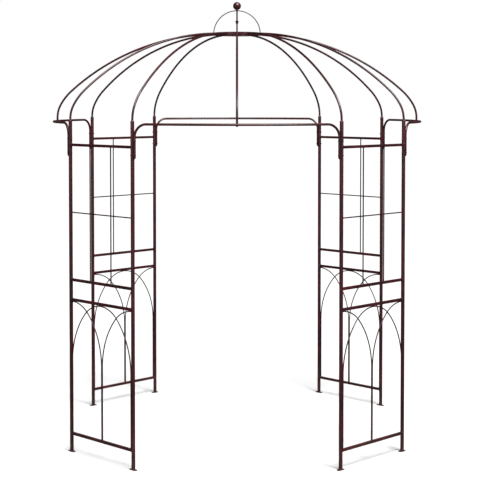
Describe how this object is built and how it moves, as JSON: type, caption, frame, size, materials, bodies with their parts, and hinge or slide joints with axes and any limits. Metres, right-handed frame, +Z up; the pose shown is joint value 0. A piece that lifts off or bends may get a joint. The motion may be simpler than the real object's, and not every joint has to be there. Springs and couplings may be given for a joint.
{
  "type": "domed garden arch",
  "caption": "Domed metal garden gazebo frame with lattice panels, bowed headers over walk-through openings, curved ribs, a crown ring and a ball finial.",
  "frame": {"origin": "centre of the footprint, on the ground", "axes": "+Z up; the opening seen from the front faces -Y; +X to the right of someone who looks at the front"},
  "size_m": [2.3394, 2.3394, 2.7273],
  "materials": {
    "coat": "satin reddish-brown powder coat",
    "wire": "satin grey-brown powder coat",
    "fastener": "painted steel"
  },
  "bodies": {
    "root": {"front_left_upper_post_front": "coat", "front_left_upper_post_side": "coat", "front_right_upper_post_front": "coat", "front_right_upper_post_side": "coat", "back_left_upper_post_back": "coat", "back_left_upper_post_side": "coat", "back_right_upper_post_back": "coat", "back_right_upper_post_side": "coat", "front_left_lower_post_front": "coat", "front_left_lower_post_side": "coat", "front_right_lower_post_front": "coat", "front_right_lower_post_side": "coat", "back_left_lower_post_back": "coat", "back_left_lower_post_side": "coat", "back_right_lower_post_back": "coat", "back_right_lower_post_side": "coat", "front_left_rails": "coat", "front_right_rails": "coat", "back_left_rails": "coat", "back_right_rails": "coat", "front_left_upright_rods": "wire", "front_right_upright_rods": "wire", "back_left_upright_rods": "wire", "back_right_upright_rods": "wire", "front_left_arch_rods": "wire", "front_right_arch_rods": "wire", "back_left_arch_rods": "wire", "back_right_arch_rods": "wire", "front_header": "coat", "back_header": "coat", "left_header": "coat", "right_header": "coat", "front_rib": "coat", "back_rib": "coat", "left_rib": "coat", "right_rib": "coat", "front_left_rib_front": "coat", "front_left_rib_side": "coat", "front_right_rib_front": "coat", "front_right_rib_side": "coat", "back_left_rib_back": "coat", "back_left_rib_side": "coat", "back_right_rib_back": "coat", "back_right_rib_side": "coat", "post_couplers": "fastener", "foot_plates": "coat", "rib_sockets": "coat", "rib_end_inserts": "fastener", "crown_ring": "coat", "crown_cross": "coat", "crown_hoop": "wire", "finial_stem": "coat", "finial_collar": "coat", "finial_ball": "coat", "finial_nut": "fastener", "coupler_screws": "fastener", "header_bolts": "fastener", "rib_foot_bolts": "fastener", "header_nuts": "fastener", "crown_screws": "fastener"}
  },
  "joints": []
}
